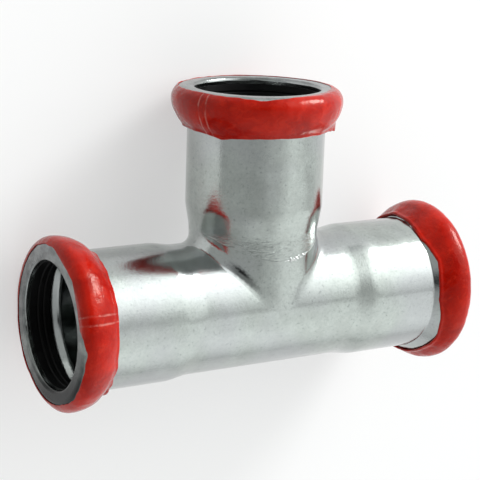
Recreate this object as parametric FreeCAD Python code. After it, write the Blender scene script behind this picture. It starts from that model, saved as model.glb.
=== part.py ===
import FreeCAD, Part
import math
import os

# Equal press tee for a 28 mm steel pipe, lying on its three rings.
# The run lies along X, the branch points along +Y, and Z is up.
# The origin is under the middle of the tee, at the level that the rings rest on.
# Lengths are in millimetres, angles in degrees.

# Pipe and sheet
pipe_radius = 14.0
socket_clearance = 0.2
wall = 1.5
edge_break = 0.8

# Reach of the mouths from the crossing of the two axes
run_reach = 50.85
branch_reach = 50.1

# Bead at each mouth, which holds the seal ring
bead_radius = 19.28
shoulder_rounding = 2.6
crown_rounding = 5.0
leg_slope = 35.0
foot_rounding = 0.6

# Neck between a socket and the middle of the tee
run_socket_depth = 26.0
branch_socket_depth = 27.0
neck_slope = 10.0
neck_rounding = 10.0
stop_step = 0.6
branch_step = 0.15

# Drawn collar and the weld that joins the branch socket to it.
# The crease at the collar's foot is rounded more towards the top and bottom of the tee than at its sides,
# so its roundings go with places given as turns about the branch from the top.
collar_rounding = 2.8
crease_places = (90, 50, 30, 16, 0)
crease_roundings = (collar_rounding, 3.0, 5.6, 12.5, 22.0)
weld_margin = 0.2
weld_dip = 5.0

# Seal ring in each bead
seal_width = 4.8
seal_clearance = 0.05
seal_bore_clearance = 0.05
groove_rounding = 0.4
groove_places = (1.9, 3.3)

# Indicator film over each bead
film_thickness = 0.2
film_gap = 0.05
film_front_drop = 1.68
film_cover_left = 9.3
film_cover_right = 7.2
film_cover_branch = 9.4

# Worked out from the driving dimensions
hole_radius = pipe_radius + socket_clearance
socket_radius = hole_radius + wall
run_radius = pipe_radius - stop_step + wall
branch_radius = run_radius - branch_step
weld_height_side = run_radius + collar_rounding + weld_margin
weld_height_front = weld_height_side - weld_dip
film_radius = bead_radius + film_gap + film_thickness
film_front_radius = bead_radius - film_front_drop
film_shoulder = shoulder_rounding + film_gap + film_thickness
film_front_rise = shoulder_rounding - film_front_drop
film_lead = math.sqrt(film_shoulder ** 2 - film_front_rise ** 2) - shoulder_rounding
crossing_y = (film_radius - branch_reach - film_lead) / 2
crossing_z = film_radius

same_point = 0.000001
on_surface = 0.001
on_edge = 0.0001
centre = FreeCAD.Vector(0, 0, 0)
along_x = FreeCAD.Vector(1, 0, 0)
along_z = FreeCAD.Vector(0, 0, 1)


def socket_corners(reach, socket_depth, middle_radius):
    """Corners (x, radius, rounding) of a socket's outside, from its hole back to the crossing."""
    slope = math.radians(leg_slope)
    crown = reach - shoulder_rounding - crown_rounding * math.tan(slope / 2)
    foot = crown - (bead_radius - socket_radius) / math.tan(slope)
    neck = reach - socket_depth
    neck_end = neck - (socket_radius - middle_radius) / math.tan(math.radians(neck_slope))
    return [
        (reach, hole_radius, 0),
        (reach, bead_radius, shoulder_rounding),
        (crown, bead_radius, crown_rounding),
        (foot, socket_radius, foot_rounding),
        (neck, socket_radius, neck_rounding),
        (neck_end, middle_radius, neck_rounding),
        (0, middle_radius, 0),
    ]


def direction(start, end):
    """Unit vector between two corners."""
    length = math.hypot(end[0] - start[0], end[1] - start[1])
    return (end[0] - start[0]) / length, (end[1] - start[1]) / length


def inset(corners, depth):
    """The same outline moved into the sheet by depth, or off it where depth is negative."""
    moved = [(corners[0][0] - depth, corners[0][1], 0)]
    for before, here, after in zip(corners, corners[1:], corners[2:]):
        ax, ay = direction(before, here)
        bx, by = direction(here, after)
        side = math.copysign(1, ax * by - ay * bx)
        bisect = 1 + ax * bx + ay * by
        x = here[0] - depth * (ay + by) / bisect
        radius = here[1] + depth * (ax + bx) / bisect
        rounding = max(here[2] - side * depth, 0)
        moved.append((x, radius, rounding))
    moved.append((corners[-1][0], corners[-1][1] - depth, 0))
    return moved


def vector(x, radius):
    return FreeCAD.Vector(x, radius, 0)


def rounded_edges(corners):
    """Straight runs and tangent arcs through a list of corners."""
    edges = []
    last = vector(corners[0][0], corners[0][1])
    for before, here, after in zip(corners, corners[1:], corners[2:]):
        ax, ay = direction(before, here)
        bx, by = direction(here, after)
        half_turn = math.acos(max(-1.0, min(1.0, ax * bx + ay * by))) / 2
        tangent = here[2] * math.tan(half_turn)
        start = vector(here[0] - ax * tangent, here[1] - ay * tangent)
        if last.distanceToPoint(start) > same_point:
            edges.append(Part.LineSegment(last, start).toShape())
        last = start
        if tangent > 0:
            end = vector(here[0] + bx * tangent, here[1] + by * tangent)
            inward = FreeCAD.Vector(bx - ax, by - ay, 0).normalize()
            sagitta = here[2] / math.cos(half_turn) - here[2]
            middle = vector(here[0], here[1]) + inward * sagitta
            edges.append(Part.Arc(start, middle, end).toShape())
            last = end
    edges.append(Part.LineSegment(last, vector(corners[-1][0], corners[-1][1])).toShape())
    return edges


def turned(corners):
    """Solid of revolution about X under an outline."""
    edges = rounded_edges(corners)
    first = vector(corners[0][0], corners[0][1])
    last = vector(corners[-1][0], corners[-1][1])
    edges.append(Part.LineSegment(last, vector(corners[-1][0], 0)).toShape())
    edges.append(Part.LineSegment(vector(corners[-1][0], 0), vector(corners[0][0], 0)).toShape())
    edges.append(Part.LineSegment(vector(corners[0][0], 0), first).toShape())
    return Part.Face(Part.Wire(edges)).revolve(centre, along_x, 360)


def tube(inner, outer, start, end):
    """Plain ring about X between two places."""
    length = end - start
    place = FreeCAD.Vector(start, 0, 0)
    ring = Part.makeCylinder(outer, length, place, along_x)
    return ring.cut(Part.makeCylinder(inner, length, place, along_x))


def to_left(shape):
    return shape.rotated(centre, along_z, 180)


def to_branch(shape):
    return shape.rotated(centre, along_z, 90)


def hollow_corners(corners):
    """Outline of the room inside a socket, whose mouth has a rounded rim."""
    reach = corners[0][0]
    mouth = [
        (reach, hole_radius + edge_break, 0),
        (reach, hole_radius, edge_break),
    ]
    return mouth + inset(corners, wall)


def crease_rounding(point):
    """Rounding named for the place on the crease that is nearest to a point on it."""
    turn = math.degrees(math.atan2(point.x, point.z))
    misses = [abs(place - turn) for place in crease_places]
    return crease_roundings[misses.index(min(misses))]


def blended(run_half, branch_form, run_size, branch_size, further):
    """Run and branch as one form, whose meeting edge is rounded by the named roundings and further."""
    far = run_reach + branch_reach
    room = Part.makeBox(far, 2 * far, far, FreeCAD.Vector(0, -far, 0))
    quarter = run_half.fuse(to_branch(branch_form)).removeSplitter().common(room)
    stops = []
    for place in crease_places[1:-1]:
        x = branch_size * math.sin(math.radians(place))
        z = branch_size * math.cos(math.radians(place))
        y = math.sqrt(run_size ** 2 - z ** 2)
        stops.append(Part.Vertex(FreeCAD.Vector(x, y, z)))
    quarter = quarter.generalFuse(stops, on_edge)[0].Solids[0]
    chosen = []
    for number, edge in enumerate(quarter.Edges, 1):
        point = edge.valueAt((edge.FirstParameter + edge.LastParameter) / 2)
        from_run = math.hypot(point.y, point.z)
        from_branch = math.hypot(point.x, point.z)
        if abs(from_run - run_size) < on_surface and abs(from_branch - branch_size) < on_surface:
            start = crease_rounding(edge.valueAt(edge.FirstParameter))
            end = crease_rounding(edge.valueAt(edge.LastParameter))
            chosen.append((number, start + further, end + further))
    model = FreeCAD.newDocument()
    sharp = model.addObject("Part::Feature", "sharp")
    sharp.Shape = quarter
    rounded = model.addObject("Part::Fillet", "rounded")
    rounded.Base = sharp
    rounded.Edges = chosen
    model.recompute()
    quarter = rounded.Shape.copy()
    FreeCAD.closeDocument(model.Name)
    half = quarter.fuse(quarter.mirror(centre, along_z))
    return half.fuse(half.mirror(centre, along_x)).removeSplitter()


def weld_side():
    """Everything on the branch's side of the weld, whose foot is saddle-shaped."""
    wide = film_radius + wall
    far = branch_reach + wall
    half_height = film_radius + wall
    left_end = FreeCAD.Vector(-branch_radius, weld_height_side, -half_height)
    bottom = FreeCAD.Vector(0, weld_height_front, -half_height)
    right_end = FreeCAD.Vector(branch_radius, weld_height_side, -half_height)
    outer = [
        right_end,
        FreeCAD.Vector(wide, weld_height_side, -half_height),
        FreeCAD.Vector(wide, far, -half_height),
        FreeCAD.Vector(-wide, far, -half_height),
        FreeCAD.Vector(-wide, weld_height_side, -half_height),
        left_end,
    ]
    edges = [Part.Arc(left_end, bottom, right_end).toShape()]
    for start, end in zip(outer, outer[1:]):
        edges.append(Part.LineSegment(start, end).toShape())
    return Part.Face(Part.Wire(edges)).extrude(along_z * 2 * half_height)


def steel_body(run_corners, branch_corners):
    """Thin steel tee, whole, before it is parted at the weld."""
    outside = blended(turned(run_corners), turned(branch_corners),
                      run_radius, branch_radius, 0)
    inside = blended(turned(hollow_corners(run_corners)), turned(hollow_corners(branch_corners)),
                     run_radius - wall, branch_radius - wall, wall)
    return outside.cut(inside)


def seal_ring(corners):
    """Rubber ring that fills the front of the bead, with two grooves in its bore."""
    reach = corners[0][0]
    front = reach - wall - seal_clearance
    bore = pipe_radius + seal_bore_clearance
    body = turned(inset(corners, wall + seal_clearance))
    ring = body.common(tube(bore, bead_radius, front - seal_width, front))
    for place in groove_places:
        middle = FreeCAD.Vector(front - place, 0, 0)
        ring = ring.cut(Part.makeTorus(bore, groove_rounding, middle, along_x))
    return ring


def indicator_film(corners, cover):
    """Thin plastic skin over the bead, from its front face back to cover behind the mouth."""
    reach = corners[0][0]
    skin = turned(inset(corners, -film_gap - film_thickness))
    skin = skin.cut(turned(inset(corners, -film_gap)))
    crown = reach - shoulder_rounding
    front = tube(film_front_radius, film_radius + wall, crown, reach + wall)
    back = tube(hole_radius, film_radius + wall, reach - cover, crown)
    return skin.common(front.fuse(back)).removeSplitter()


def save(name, shape):
    """Move a piece from the crossing's frame to the part's frame and write it."""
    shape = shape.copy()
    shape.translate(FreeCAD.Vector(0, crossing_y, crossing_z))
    solids = shape.Solids
    print(name, "solids", len(solids), "valid", shape.isValid(), "volume", round(shape.Volume, 2))
    whole = solids[0] if len(solids) == 1 else shape
    whole.exportStep("parts/" + name + ".step")


run_corners = socket_corners(run_reach, run_socket_depth, run_radius)
branch_corners = socket_corners(branch_reach, branch_socket_depth, branch_radius)
steel = steel_body(run_corners, branch_corners)
branch_side = weld_side()

os.makedirs("parts", exist_ok=True)
save("run_body", steel.cut(branch_side))
save("branch_socket", steel.common(branch_side))
save("run_seal_left", to_left(seal_ring(run_corners)))
save("run_seal_right", seal_ring(run_corners))
save("branch_seal", to_branch(seal_ring(branch_corners)))
save("run_film_left", to_left(indicator_film(run_corners, film_cover_left)))
save("run_film_right", indicator_film(run_corners, film_cover_right))
save("branch_film", to_branch(indicator_film(branch_corners, film_cover_branch)))
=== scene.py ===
import math

import bpy
import numpy as np
from mathutils import Matrix, Vector, noise


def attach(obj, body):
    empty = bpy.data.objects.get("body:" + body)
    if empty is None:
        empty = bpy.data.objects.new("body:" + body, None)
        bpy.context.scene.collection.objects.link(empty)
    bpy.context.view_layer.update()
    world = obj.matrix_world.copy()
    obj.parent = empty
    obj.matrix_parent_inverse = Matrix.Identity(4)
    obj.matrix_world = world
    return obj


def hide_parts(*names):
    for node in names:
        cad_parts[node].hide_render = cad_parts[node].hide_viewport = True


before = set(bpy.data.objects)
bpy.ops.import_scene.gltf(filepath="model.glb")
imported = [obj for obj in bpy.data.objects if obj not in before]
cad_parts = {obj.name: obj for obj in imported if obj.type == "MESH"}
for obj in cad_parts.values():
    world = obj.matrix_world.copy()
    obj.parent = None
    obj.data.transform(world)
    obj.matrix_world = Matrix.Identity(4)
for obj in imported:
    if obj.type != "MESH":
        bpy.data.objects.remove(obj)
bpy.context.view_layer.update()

MM = 0.001

# Where the two axes cross, and how far the mouths reach from there
CROSSING = Vector((0, -15.334, 19.53)) * MM
RUN_REACH = 50.85
BRANCH_REACH = 50.1

# Outline of a bead and its socket, as radii and as depths behind the mouth, in millimetres
HOLE_RADIUS = 14.2
SOCKET_RADIUS = 15.7
BEAD_RADIUS = 19.28
SHOULDER_ROUNDING = 2.6
CROWN_ROUNDING = 5.0
LEG_SLOPE = math.radians(35)
LEG_FOOT_START = 0.85
SOCKET_STRETCH = 4.0

# Film sections: points round the ring, over the outside, over each edge and back inside
FILM_STEPS = 640
FILM_OUTER_ROWS = 44
FILM_EDGE_ROWS = 5
FILM_INNER_ROWS = 10

# Film skin in millimetres, and how far it may reach: outwards, and in front of the mouth
FILM_LIFT = 0.03
FILM_THICKNESS = 0.17
FILM_LIMIT = 19.52
MOUTH_LIMIT = 0.09

# Heights of the film's wrinkles, how far pleats lift it, and the share of its thickness a wrinkle may cut
PLEAT_HEIGHT = 0.176
FOLD_HEIGHT = 0.096
RIPPLE_HEIGHT = 0.04
PLEAT_LIFT = 0.12
DEEPEST_WRINKLE = 0.6

# Unevenness of the film's front and rear edges, and how thick they are rolled
FRONT_WANDER = 0.16
REAR_WANDER = 0.25
REAR_FRAY = 0.05
REAR_ROLL = 0.26
FRONT_ROLL = 0.06

# Where a film bridges from the bead's leg to the socket
BRIDGE_DEPTH = 6.8
BRIDGE_WIDTH = 1.9

# Curls of the rear edge start at this share of the way back, and only a far curl may pass the film's limit
CURL_START = 0.72
FAR_CURL = 1.0
FAR_CURL_START = 0.7

# Branch tube and the weld round its foot, as heights above the crossing
BRANCH_RADIUS = 14.75
WELD_HEIGHT_FRONT = 12.9
WELD_CURVE_RADIUS = 24.26
WELD_STEPS = 900
WELD_ROWS = 9
WELD_WANDER = 0.12
WELD_SINK = 0.05

# Rough patch of the weld, in degrees from the top
PATCH_ANGLE = 13
PATCH_SPREAD = 10

# Rise and half width of the weld: where it is plain, more at a lump, and more in the rough patch
WELD_RISES = (0.004, 0.02, 0.30)
WELD_WIDTHS = (0.06, 0.08, 0.75)

# Floor: half its width in metres, its paint, and how much brighter it is seen and mirrored
FLOOR_HALF_SIZE = 3.0
FLOOR_PAINT = (0.46, 0.46, 0.46, 1)
FLOOR_LIFT = 0.48

# Sky: colour, even level, least level, and lobes as (middle, cosine at the rim, cosine when full, strength).
# A lobe whose last cosine is above 1 never gets full.
SKY_COLOUR = (0.975, 1.0, 0.99, 1)
SKY_LEVEL = 0.576
SKY_LEAST = 0.03
BRIGHT_LOBES = (
    ((0.608, 0.622, 0.494), 0.707, 1.364, 5.094),
    ((0.25, -0.005, 0.968), 0.837, 0.953, 0.19),
    ((-0.041, -0.818, 0.573), 0.683, 1.518, 1.54),
    ((0.76, -0.474, 0.444), 0.593, 1.058, 0.855),
)
DARK_LOBES = (
    ((-0.567, 0.115, 0.815), 0.935, 1.150, -1.421),
    ((-0.42, 0.17, 0.89), 0.968, 0.990, -0.30),
    ((-0.139, 0.382, 0.914), 0.883, 0.975, -0.28),
    ((-0.065, 0.998, -0.019), 0.930, 0.995, -0.25),
)

# Photograph's viewpoint: azimuth, elevation and roll in degrees, aim from the crossing, distance in metres
VIEW_ANGLES = (-30.795, 13.719, 1.919)
VIEW_AIM = Vector((-3.27, 14.658, 0)) * MM
VIEW_DISTANCE = 0.36923
LENS = 120.5
SENSOR_WIDTH = 36


# Meshes

def new_piece(name, vertices, faces, material):
    """Smooth mesh in metres that rides on the tee."""
    mesh = bpy.data.meshes.new(name)
    mesh.from_pydata([tuple(v) for v in vertices], [], faces)
    mesh.update()
    mesh.polygons.foreach_set("use_smooth", [True] * len(mesh.polygons))
    piece = bpy.data.objects.new(name, mesh)
    bpy.context.scene.collection.objects.link(piece)
    mesh.materials.append(material)
    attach(piece, "root")
    return piece


def ring_faces(rows, columns, closed_section):
    """Quads over rows of vertices that go round a ring, each row a section of it."""
    faces = []
    for i in range(rows):
        following = (i + 1) % rows
        for j in range(columns if closed_section else columns - 1):
            beside = (j + 1) % columns
            faces.append((i * columns + j, i * columns + beside,
                          following * columns + beside, following * columns + j))
    return faces


def smooth_step(value, low, high):
    """Smooth rise from 0 to 1 between two places."""
    share = min(1.0, max(0.0, (value - low) / (high - low)))
    return share * share * (3 - 2 * share)


def hump(value, centre, width):
    """Bell-shaped rise round a centre."""
    return math.exp(-((value - centre) / width) ** 2)


def round_table(table, angle):
    """Value at an angle in degrees, from a table of (angle, value) that closes on itself."""
    angles = [a for a, _ in table]
    values = [v for _, v in table]
    return float(np.interp(angle, angles, values, period=360))


def turned_from(angle, start):
    """Angle counted from a start, from -180 to 180 degrees."""
    return (angle - start + 180) % 360 - 180


def ring_noise(angle, across, scale, seed):
    """Noise that closes on itself round a ring, from -1 to 1."""
    turn = math.radians(angle)
    return noise.noise(Vector((math.cos(turn) * scale + seed, math.sin(turn) * scale - seed, across + seed)))


# The bead's outline

def bead_outline():
    """Points (depth, radius) over the bead's outside with their outward normals, front to back."""
    points = [(0.0, HOLE_RADIUS, -1.0, 0.0)]
    for turn in np.linspace(0, math.pi / 2, 24, endpoint=False):
        depth = SHOULDER_ROUNDING * (1 - math.cos(turn))
        radius = BEAD_RADIUS - SHOULDER_ROUNDING * (1 - math.sin(turn))
        points.append((depth, radius, -math.cos(turn), math.sin(turn)))
    for turn in np.linspace(0, LEG_SLOPE, 14):
        depth = SHOULDER_ROUNDING + CROWN_ROUNDING * math.sin(turn)
        radius = BEAD_RADIUS - CROWN_ROUNDING * (1 - math.cos(turn))
        points.append((depth, radius, math.sin(turn), math.cos(turn)))
    leg_depth, leg_radius = points[-1][0], points[-1][1]
    foot_depth = leg_depth + (leg_radius - SOCKET_RADIUS) / math.tan(LEG_SLOPE)
    for share in np.linspace(0, 1, 12)[1:]:
        lean = LEG_SLOPE * (1 - smooth_step(share, LEG_FOOT_START, 1.0))
        points.append((leg_depth + share * (foot_depth - leg_depth),
                       leg_radius + share * (SOCKET_RADIUS - leg_radius), math.sin(lean), math.cos(lean)))
    points.append((foot_depth + SOCKET_STRETCH, SOCKET_RADIUS, 0.0, 1.0))
    return np.array(points)


OUTLINE = bead_outline()
ALONG = np.concatenate([[0], np.cumsum(np.hypot(np.diff(OUTLINE[:, 0]), np.diff(OUTLINE[:, 1])))])


def outline_at(place):
    """Depth, radius and outward normal at a length along the outline."""
    return [float(np.interp(place, ALONG, OUTLINE[:, k])) for k in range(4)]


def place_at_radius(radius):
    """Length along the outline, on the face or the shoulder, at a radius."""
    front = OUTLINE[:, 0] <= SHOULDER_ROUNDING
    return float(np.interp(radius, OUTLINE[front, 1], ALONG[front]))


def place_at_depth(depth):
    """Length along the outline, behind the crown, at a depth."""
    back = OUTLINE[:, 0] >= SHOULDER_ROUNDING
    return float(np.interp(depth, OUTLINE[back, 0], ALONG[back]))


# Indicator films

def film_section():
    """Places round a film's section: share of the way back, and height from inside (0) to outside (1)."""
    edge = []
    for row in range(FILM_EDGE_ROWS):
        edge.append(0.5 + 0.5 * math.cos(math.pi * (row + 1) / (FILM_EDGE_ROWS + 1)))
    section = [(row / (FILM_OUTER_ROWS - 1), 1.0) for row in range(FILM_OUTER_ROWS)]
    section += [(1.0, height) for height in edge]
    section += [(1 - row / (FILM_INNER_ROWS - 1), 0.0) for row in range(FILM_INNER_ROWS)]
    section += [(0.0, height) for height in reversed(edge)]
    return section


def film_offset(angle, share, height, depth, bridge_height, curls, seed):
    """How far a point of a film stands off the bead, with wrinkles, rolled edges, bridge and curls.

    Each ring_noise has its own seed, and runs at its own pace across and round the film.
    """
    pleats = ring_noise(angle, share * 1.2, 6, seed + 3) * smooth_step(share, 0.45, 1.0)
    folds = ring_noise(angle, share * 2.5, 3.5, seed + 5)
    ripple = ring_noise(angle, share * 4, 12, seed + 9)
    wrinkle = PLEAT_HEIGHT * pleats + FOLD_HEIGHT * folds + RIPPLE_HEIGHT * ripple
    thickness = FILM_THICKNESS + REAR_ROLL * hump(share, 0.97, 0.05) + FRONT_ROLL * hump(share, 0.0, 0.03)
    lift = (FILM_LIFT + bridge_height * hump(depth, BRIDGE_DEPTH, BRIDGE_WIDTH)
            + PLEAT_LIFT * max(0.0, pleats) * share)
    for curl_angle, curl_width, curl_height in curls:
        amount = hump(turned_from(angle, curl_angle), 0, curl_width) * smooth_step(share, CURL_START, 1.0)
        flutter = (0.8 + 0.6 * ring_noise(angle, share * 3, 8, seed + 11)
                   + 0.35 * ring_noise(angle, share * 2, 24, seed + 13))
        lift += curl_height * amount * flutter
    return lift + height * (thickness + max(-DEEPEST_WRINKLE * thickness, wrinkle))


def film(name, node, reach, axis, side, front_edge, rear_edge, bridge_height, curls, seam_angle, seed,
         material):
    """Shrunk plastic film over a bead, with uneven edges; its angles turn from the side towards the top."""
    axis, side, up = Vector(axis), Vector(side), Vector((0, 0, 1))
    section = film_section()
    curls_far = any(curl_height > FAR_CURL for _, _, curl_height in curls)
    vertices, spread = [], []
    for step in range(FILM_STEPS):
        angle = -180 + 360 * step / FILM_STEPS
        turn = math.radians(angle)
        outward = side * math.cos(turn) + up * math.sin(turn)
        seam_share = (angle - seam_angle + 180) % 360 / 360
        start = place_at_radius(round_table(front_edge, angle) + FRONT_WANDER * ring_noise(angle, 0, 9, seed))
        end = place_at_depth(round_table(rear_edge, angle) + REAR_WANDER * ring_noise(angle, 4, 4, seed)
                             + REAR_FRAY * ring_noise(angle, 7, 12, seed))
        for share, height in section:
            place = start + share * (end - start)
            if share in (0.0, 1.0):
                edge_rounding = FILM_THICKNESS * math.sqrt(height * (1 - height))
                place += edge_rounding if share else -edge_rounding
            depth, radius, back, out = outline_at(place)
            offset = film_offset(angle, share, height, depth, bridge_height, curls, seed)
            depth = max(-MOUTH_LIMIT, depth + back * offset)
            radius += out * offset
            if not curls_far or share < FAR_CURL_START:
                radius = min(radius, FILM_LIMIT)
            vertices.append(CROSSING + axis * ((reach - depth) * MM) + outward * (radius * MM))
            spread.append((seam_share, share, 0.0))
    faces = ring_faces(FILM_STEPS, len(section), True)
    if axis.cross(side).dot(up) > 0:
        faces = [tuple(reversed(face)) for face in faces]
    piece = new_piece(name, vertices, faces, material)
    # Places round and over the film, for the seam in its material
    attribute = piece.data.attributes.new("film_place", "FLOAT_VECTOR", "POINT")
    attribute.data.foreach_set("vector", [value for place in spread for value in place])
    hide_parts(node)


# Weld

def weld_height(x):
    """Height of the seam above the crossing, at a distance to the side of the branch's axis."""
    return WELD_HEIGHT_FRONT + WELD_CURVE_RADIUS - math.sqrt(WELD_CURVE_RADIUS ** 2 - x * x)


def weld_bead(material):
    """Seam round the branch: nearly flush, with fine lumps and one rough patch near the top."""
    vertices = []
    for step in range(WELD_STEPS):
        angle = 360 * step / WELD_STEPS
        turn = math.radians(angle)
        height = weld_height(BRANCH_RADIUS * math.sin(turn)) + WELD_WANDER * ring_noise(angle, 0, 10, 21)
        lump = max(0.0, ring_noise(angle, 2, 16, 31) + 0.25 * ring_noise(angle, 3, 70, 33))
        roughness = max(0.0, 0.35 + 1.3 * ring_noise(angle, 1, 28, 35) + 0.9 * ring_noise(angle, 5, 80, 37))
        rough_patch = hump(angle, PATCH_ANGLE, PATCH_SPREAD) * roughness
        rise = np.dot(WELD_RISES, (1, lump, rough_patch))
        width = np.dot(WELD_WIDTHS, (1, lump, rough_patch))
        for row in range(WELD_ROWS):
            spot = row / (WELD_ROWS - 1) * 2 - 1
            radius = BRANCH_RADIUS - WELD_SINK + (rise + WELD_SINK) * math.sqrt(1 - spot * spot)
            vertices.append(CROSSING + Vector((radius * math.sin(turn), height + spot * width,
                                               radius * math.cos(turn))) * MM)
    new_piece("weld_bead", vertices, ring_faces(WELD_STEPS, WELD_ROWS, False), material)


# Materials

class Nodes:
    """Short way to add and join the nodes of a material or a world."""

    def __init__(self, owner):
        owner.use_nodes = True
        self.tree = owner.node_tree
        self.tree.nodes.clear()

    def add(self, kind, inputs=None, **settings):
        node = self.tree.nodes.new(kind)
        for name, value in settings.items():
            setattr(node, name, value)
        for name, value in (inputs or {}).items():
            if isinstance(value, bpy.types.NodeSocket):
                self.tree.links.new(value, node.inputs[name])
            else:
                node.inputs[name].default_value = value
        return node

    def math(self, operation, first, second=0.0):
        return self.add("ShaderNodeMath", {0: first, 1: second}, operation=operation).outputs[0]

    def total(self, first, *others):
        """Sum of sockets and numbers."""
        for value in others:
            first = self.math("ADD", first, value)
        return first

    def product(self, first, *others):
        """Product of sockets and numbers."""
        for value in others:
            first = self.math("MULTIPLY", first, value)
        return first

    def distance(self, first, second):
        """How far two values lie apart."""
        return self.math("ABSOLUTE", self.math("SUBTRACT", first, second))

    def ramp(self, value, low, high, to_low=0.0, to_high=1.0):
        """Smooth change from one value to another between two places."""
        node = self.add("ShaderNodeMapRange", {"Value": value, "From Min": low, "From Max": high,
                                               "To Min": to_low, "To Max": to_high},
                        interpolation_type="SMOOTHSTEP")
        return node.outputs["Result"]

    def noise(self, vector, scale, detail=3.0, roughness=0.5, distortion=0.0):
        node = self.add("ShaderNodeTexNoise", {"Vector": vector, "Scale": scale, "Detail": detail,
                                               "Roughness": roughness, "Distortion": distortion})
        return node.outputs["Fac"]

    def mix(self, share, first, second):
        node = self.add("ShaderNodeMix", {"Factor": share}, data_type="RGBA")
        for socket, value in ((node.inputs[6], first), (node.inputs[7], second)):
            if isinstance(value, bpy.types.NodeSocket):
                self.tree.links.new(value, socket)
            else:
                socket.default_value = (*value, 1)
        return node.outputs[2]

    def mix_vectors(self, share, first, second):
        node = self.add("ShaderNodeMix", {"Factor": share}, data_type="VECTOR")
        self.tree.links.new(first, node.inputs[4])
        self.tree.links.new(second, node.inputs[5])
        return node.outputs[1]

    def bump(self, height, distance, normal=None):
        inputs = {"Height": height, "Distance": distance, "Strength": 1.0}
        if normal is not None:
            inputs["Normal"] = normal
        return self.add("ShaderNodeBump", inputs).outputs["Normal"]

    def stretched(self, vector, scale):
        return self.add("ShaderNodeVectorMath", {0: vector, 1: scale}, operation="MULTIPLY").outputs[0]

    def place(self):
        """Place on the part, in metres."""
        return self.add("ShaderNodeTexCoord").outputs["Object"]

    def surface(self, settings):
        """Finish a material with the one shader that has these inputs."""
        shader = self.add("ShaderNodeBsdfPrincipled", settings)
        self.add("ShaderNodeOutputMaterial", {"Surface": shader.outputs[0]})


def hair_lines(nodes, place):
    """Thin curly scratches that show in some places only."""
    wave = nodes.noise(nodes.stretched(place, (1.0, 0.55, 1.0)), 900, 2, 0.5, 2.5)
    lines = nodes.ramp(nodes.distance(wave, 0.5), 0.0, 0.012, 1.0, 0.0)
    return nodes.product(lines, nodes.ramp(nodes.noise(place, 300, 2), 0.50, 0.62))


def painted_mouth_shade(nodes, spot):
    """Painted shade: share from 0 to 1 by how far a place lies away from the branch and upwards."""
    across = nodes.product(nodes.total(spot.outputs["Y"], -CROSSING.y), -0.94)
    upward = nodes.product(nodes.total(spot.outputs["Z"], -CROSSING.z), 0.34)
    return nodes.ramp(nodes.total(across, upward), 0.004, 0.0152)


def brushed_band(nodes, place, spot, waves, tint, rough, normal):
    """Ground and brushed band just above the weld."""
    wavering = nodes.product(nodes.math("SUBTRACT", waves, 0.5), 0.004)
    height = nodes.total(spot.outputs["Y"], wavering)
    band = nodes.product(nodes.ramp(height, -0.0032, -0.0022), nodes.ramp(height, 0.0018, 0.0036, 1.0, 0.0))
    strokes = nodes.noise(nodes.stretched(place, (0.25, 1.0, 0.25)), 2000, 3, 0.6, 0.8)
    tint = nodes.mix(nodes.product(nodes.ramp(strokes, 0.56, 0.66), band, 0.45), tint, (0.20, 0.215, 0.21))
    normal = nodes.mix_vectors(band, normal, nodes.bump(strokes, 0.00016, normal))
    rough = nodes.total(rough, nodes.product(band, 0.10))
    return tint, rough, normal


def steel_material(name, along, face_axis, face_places, face_darkness, shade, brushed):
    """Zinc plated sheet: pale and slightly green, grainy, with drawing lines along the tube."""
    material = bpy.data.materials.new(name)
    nodes = Nodes(material)
    place = nodes.place()
    spot = nodes.add("ShaderNodeSeparateXYZ", {0: place})
    grain = nodes.noise(place, 2300, 4, 0.6)
    blotch = nodes.noise(place, 210, 4, 0.6)
    waves = nodes.noise(place, 95, 2)
    lines = nodes.noise(nodes.stretched(place, along), 1500, 2)

    # Marks laid over the plating one after the other: where, how strongly and in which colour
    tint = nodes.mix(nodes.ramp(blotch, 0.33, 0.68), (0.40, 0.428, 0.408), (0.45, 0.485, 0.463))
    marks = (
        (nodes.ramp(nodes.noise(place, 1500, 3, 0.6), 0.635, 0.68), 0.70, (0.22, 0.24, 0.23)),
        (hair_lines(nodes, place), 0.75, (0.18, 0.20, 0.19)),
        (nodes.ramp(nodes.noise(place, 1500, 2), 0.38, 0.62), 0.26, (0.33, 0.36, 0.345)),
        (nodes.ramp(nodes.noise(place, 620, 3, 0.6), 0.42, 0.62), 0.13, (0.29, 0.32, 0.305)),
        (nodes.ramp(nodes.noise(place, 48, 2), 0.40, 0.62), 0.45, (0.425, 0.425, 0.455)),
    )
    for share, strength, colour in marks:
        tint = nodes.mix(nodes.product(share, strength), tint, colour)

    rough = nodes.total(nodes.ramp(blotch, 0.3, 0.7, 0.10, 0.15), nodes.product(grain, 0.05))
    normal = nodes.bump(waves, 0.00003)
    for height, distance in ((nodes.noise(place, 700, 3), 0.000009), (grain, 0.000018), (lines, 0.000008)):
        normal = nodes.bump(height, distance, normal)

    # The sheet is duller and darker on the turned-in face of a mouth, with stains; where shade is above 0,
    # painted shade darkens the face further away from the branch and upwards
    face = nodes.ramp(nodes.math("ABSOLUTE", spot.outputs[face_axis]), *face_places)
    stain = nodes.ramp(nodes.noise(place, 330, 5, 0.65), 0.34, 0.66, 0.55, 1.0)
    tint = nodes.mix(nodes.product(face, stain, face_darkness), tint, (0.07, 0.074, 0.075))
    # Painted shade: the mouth face turns nearly black away from the branch and upwards
    tint = nodes.mix(nodes.product(face, painted_mouth_shade(nodes, spot), shade), tint, (0.008, 0.0085, 0.009))
    rough = nodes.total(rough, nodes.product(face, 0.10))
    if brushed:
        tint, rough, normal = brushed_band(nodes, place, spot, waves, tint, rough, normal)
    nodes.surface({"Base Color": tint, "Roughness": rough, "Normal": normal, "Metallic": 1.0})
    return material


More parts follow.
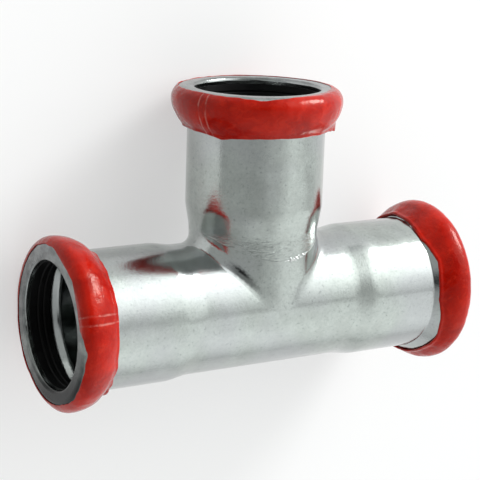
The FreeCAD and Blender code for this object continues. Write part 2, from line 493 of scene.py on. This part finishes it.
def weld_material():
    """Rough bright weld metal."""
    material = bpy.data.materials.new("weld_metal")
    nodes = Nodes(material)
    place = nodes.place()
    lumps = nodes.noise(place, 1800, 4, 0.65)
    bright = nodes.mix(nodes.ramp(lumps, 0.4, 0.62), (0.46, 0.49, 0.48), (0.86, 0.87, 0.86))
    # Away from its rough patch the seam is only a thin dull line
    across = nodes.add("ShaderNodeSeparateXYZ", {0: place}).outputs["X"]
    dull = nodes.mix(nodes.ramp(across, -0.0075, -0.0045), (0.37, 0.40, 0.38), (0.17, 0.18, 0.175))
    tint = nodes.mix(nodes.ramp(across, -0.0012, 0.0012), dull, bright)
    normal = nodes.bump(lumps, 0.00012)
    nodes.surface({"Base Color": tint, "Roughness": 0.22, "Normal": normal, "Metallic": 1.0})
    return material


def rubber_material():
    """Moulded black rubber with a faint bloom."""
    material = bpy.data.materials.new("black_rubber")
    nodes = Nodes(material)
    place = nodes.place()
    bloom = nodes.noise(place, 260, 4, 0.6)
    tint = nodes.mix(nodes.ramp(bloom, 0.4, 0.75), (0.0015, 0.0015, 0.0017), (0.005, 0.005, 0.0055))
    rough = nodes.ramp(bloom, 0.3, 0.7, 0.46, 0.60)
    normal = nodes.bump(nodes.noise(place, 4200, 2), 0.00001)
    nodes.surface({"Base Color": tint, "Roughness": rough, "Normal": normal, "IOR": 1.3})
    return material


def film_seam(nodes, place):
    """Two thin lines side by side across the film, from 0 to 1."""
    spread = nodes.add("ShaderNodeAttribute", attribute_name="film_place").outputs["Vector"]
    round_place = nodes.add("ShaderNodeSeparateXYZ", {0: spread}).outputs["X"]
    wander = nodes.product(nodes.math("SUBTRACT", nodes.noise(place, 200, 3), 0.5), 0.006)
    wandering = nodes.total(round_place, wander)
    first, second = (nodes.ramp(nodes.distance(wandering, centre), 0.0002, 0.0030, 1.0, 0.0)
                     for centre in (0.5, 0.516))
    return nodes.math("MAXIMUM", first, second)


def film_material():
    """Glossy red shrink film, cloudy and creased, with a pale double seam."""
    material = bpy.data.materials.new("red_film")
    nodes = Nodes(material)
    place = nodes.place()
    cloud = nodes.noise(place, 130, 4, 0.6)
    crease = nodes.noise(place, 420, 4, 0.65, 0.8)
    fine = nodes.noise(place, 2400, 2)
    seam = film_seam(nodes, place)
    tint = nodes.mix(nodes.ramp(cloud, 0.33, 0.67), (0.33, 0.0035, 0.001), (0.48, 0.009, 0.0025))
    tint = nodes.mix(nodes.product(nodes.ramp(crease, 0.48, 0.66), 0.34), tint, (0.62, 0.024, 0.008))
    broken = nodes.ramp(nodes.noise(place, 330, 3, 0.6), 0.42, 0.62)
    pale = nodes.product(seam, nodes.total(nodes.product(broken, 0.28), 0.04))
    tint = nodes.mix(pale, tint, (0.80, 0.42, 0.36))
    normal = nodes.bump(cloud, 0.0004)
    normal = nodes.bump(crease, 0.00009, normal)
    normal = nodes.bump(nodes.total(fine, nodes.product(seam, 3.0)), 0.000018, normal)
    rough = nodes.ramp(crease, 0.35, 0.7, 0.15, 0.27)
    nodes.surface({"Base Color": tint, "Roughness": rough, "Normal": normal, "IOR": 1.31,
                   "Specular Tint": (1.0, 0.78, 0.66, 1.0)})
    return material


# Stage, light and camera

def stage_floor():
    """Plain white floor."""
    size = FLOOR_HALF_SIZE
    corners = [(-size, -size, 0), (size, -size, 0), (size, size, 0), (-size, size, 0)]
    mesh = bpy.data.meshes.new("floor")
    mesh.from_pydata(corners, [], [(0, 1, 2, 3)])
    floor = bpy.data.objects.new("floor", mesh)
    bpy.context.scene.collection.objects.link(floor)
    material = bpy.data.materials.new("floor_white")
    nodes = Nodes(material)
    paint = nodes.add("ShaderNodeBsdfDiffuse", {"Color": FLOOR_PAINT})
    path = nodes.add("ShaderNodeLightPath")
    seen = nodes.math("MAXIMUM", path.outputs["Is Camera Ray"], path.outputs["Is Glossy Ray"])
    seen = nodes.math("MAXIMUM", seen, path.outputs["Is Transmission Ray"])
    strength = nodes.product(seen, FLOOR_LIFT)
    lift = nodes.add("ShaderNodeEmission", {"Color": (1, 1, 1, 1), "Strength": strength})
    both = nodes.add("ShaderNodeAddShader", {0: paint.outputs[0], 1: lift.outputs[0]})
    nodes.add("ShaderNodeOutputMaterial", {"Surface": both.outputs[0]})
    mesh.materials.append(material)


def studio_world():
    """Soft sky: bright beyond right end and branch, less so in front, dark near the photo's viewpoint."""
    world = bpy.data.worlds.new("studio")
    bpy.context.scene.world = world
    nodes = Nodes(world)
    way = nodes.add("ShaderNodeTexCoord").outputs["Generated"]
    parts = nodes.add("ShaderNodeSeparateXYZ", {0: way})

    def toward(aim):
        return nodes.add("ShaderNodeVectorMath", {0: way, 1: aim}, operation="DOT_PRODUCT").outputs["Value"]

    def lobes(rows):
        return [nodes.ramp(toward(aim), start, full, 0.0, strength) for aim, start, full, strength in rows]

    glow = nodes.total(*lobes(BRIGHT_LOBES))
    # Sharp left end of the bright upper part
    side = nodes.total(toward((-0.948, 0.319, 0.0)), nodes.ramp(parts.outputs["Z"], 0.83, 0.94, 0.0, 0.08))
    wedge = nodes.product(nodes.ramp(side, 0.02, 0.155), nodes.ramp(parts.outputs["Y"], 0.02, 0.16))
    glow = nodes.product(glow, nodes.math("SUBTRACT", 1.0, wedge))
    # Thin dark gap between the upper and the front light, toward the right
    gap = nodes.ramp(nodes.math("ABSOLUTE", toward((0.247, 0.964, -0.101))), 0.012, 0.050, 1.0, 0.0)
    gap = nodes.product(gap, nodes.ramp(toward((0.86, -0.16, 0.48)), 0.80, 0.86, 0.0, 0.40))
    sky = nodes.product(nodes.total(SKY_LEVEL, glow), nodes.math("SUBTRACT", 1.0, gap))
    sky = nodes.math("MAXIMUM", nodes.total(sky, *lobes(DARK_LOBES)), SKY_LEAST)
    background = nodes.add("ShaderNodeBackground", {"Color": SKY_COLOUR, "Strength": sky})
    nodes.add("ShaderNodeOutputWorld", {"Surface": background.outputs[0]})


def softbox(name, direction, distance, diameter, radiance):
    """Round soft light that faces the tee, as bright as a surface of that radiance."""
    lamp = bpy.data.lights.new(name, "AREA")
    lamp.shape = "DISK"
    lamp.size = diameter
    lamp.energy = radiance * math.pi * math.pi * diameter ** 2 / 4
    light = bpy.data.objects.new(name, lamp)
    bpy.context.scene.collection.objects.link(light)
    toward = Vector(direction).normalized()
    light.location = CROSSING + toward * distance
    light.rotation_euler = toward.to_track_quat("Z", "Y").to_euler()


def photo_camera():
    """Camera at the photograph's angle and distance."""
    azimuth, elevation, roll = (math.radians(value) for value in VIEW_ANGLES)
    back = Vector((math.sin(azimuth) * math.cos(elevation), math.sin(elevation),
                   math.cos(azimuth) * math.cos(elevation)))
    level = Vector((math.cos(azimuth), 0, -math.sin(azimuth)))
    upright = back.cross(level)
    right = level * math.cos(roll) + upright * math.sin(roll)
    up = upright * math.cos(roll) - level * math.sin(roll)
    camera = bpy.data.objects.new("camera", bpy.data.cameras.new("camera"))
    bpy.context.scene.collection.objects.link(camera)
    camera.data.sensor_width = SENSOR_WIDTH
    camera.data.lens = LENS
    camera.data.clip_start = 0.01
    turned = Matrix((right, up, back)).transposed().to_4x4()
    camera.matrix_world = Matrix.Translation(CROSSING + VIEW_AIM + back * VIEW_DISTANCE) @ turned
    bpy.context.scene.camera = camera


# Scene

bpy.context.scene.view_settings.view_transform = "Standard"
photo_camera()
stage_floor()
studio_world()
softbox("key", (0.69, 0.67, 0.27), distance=1.0, diameter=0.38, radiance=22.0)

# The run's mouth faces carry painted shade (shade 1.0); the branch's mouth face has none
run_steel = steel_material("run_steel", along=(0.02, 1.0, 1.0), face_axis="X", face_places=(0.0500, 0.0507),
                           face_darkness=0.79, shade=1.0, brushed=False)
branch_steel = steel_material("branch_steel", along=(1.0, 0.02, 1.0), face_axis="Y",
                              face_places=(0.0340, 0.0346), face_darkness=0.62, shade=0.0, brushed=True)
rubber = rubber_material()
red_film = film_material()
for node, material in (("run_body", run_steel), ("branch_socket", branch_steel), ("run_seal_left", rubber),
                       ("run_seal_right", rubber), ("branch_seal", rubber)):
    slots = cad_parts[node].data.materials
    slots.clear()
    slots.append(material)

weld_bead(weld_material())

# Edges of each film as (angle, radius) in front and (angle, depth) behind.
# Its curls are (angle, width in degrees, height).
film("film_left", "run_film_left", RUN_REACH, (-1, 0, 0), (0, 1, 0),
     front_edge=[(-176, 17.5), (-144, 17.2), (-121, 17.9), (-94, 17.0), (-69, 16.8), (-45, 17.1),
                 (-23, 17.9), (7, 17.9), (25, 17.2), (43, 17.5), (55, 16.8), (69, 16.3), (78, 16.5),
                 (84, 17.7), (93, 18.5), (104, 18.3), (122, 18.1), (137, 18.1), (156, 17.4)],
     rear_edge=[(-170, 9.4), (-120, 9.0), (-60, 9.3), (-10, 9.2), (9, 9.8), (33, 9.5), (47, 9.0), (63, 9.0),
                (81, 8.5), (97, 8.5), (115, 8.8), (134, 9.7), (155, 10.3)],
     bridge_height=0.5, curls=[(156, 11, 0.9)], seam_angle=69.5, seed=1.7, material=red_film)
film("film_right", "run_film_right", RUN_REACH, (1, 0, 0), (0, 1, 0),
     front_edge=[(-150, 17.6), (-90, 17.2), (-30, 17.9), (30, 17.5), (90, 17.8), (150, 17.3)],
     rear_edge=[(-170, 7.4), (-120, 7.9), (-60, 8.4), (-10, 8.6), (22, 9.3), (36, 9.4), (49, 8.6), (60, 7.9),
                (71, 8.1), (92, 8.2), (104, 7.5), (124, 6.7), (140, 7.1), (160, 7.2)],
     bridge_height=0.06, curls=[], seam_angle=-110, seed=5.3, material=red_film)
film("film_branch", "branch_film", BRANCH_REACH, (0, 1, 0), (1, 0, 0),
     front_edge=[(-178, 17.7), (-140, 18.0), (-119, 18.2), (-90, 17.8), (-60, 17.2), (-27, 17.0), (-9, 17.2),
                 (19, 17.0), (41, 16.4), (73, 16.5), (96, 17.7), (115, 18.5), (133, 18.1), (150, 17.8),
                 (164, 17.6)],
     rear_edge=[(-167, 8.6), (-120, 8.9), (-60, 9.3), (-10, 9.4), (30, 9.2), (50, 9.3), (74, 9.0), (85, 9.3),
                (102, 9.1), (118, 9.2), (130, 9.4), (149, 9.8), (170, 8.9)],
     bridge_height=0.5, curls=[(28, 13, 1.5)], seam_angle=156.5, seed=8.9, material=red_film)
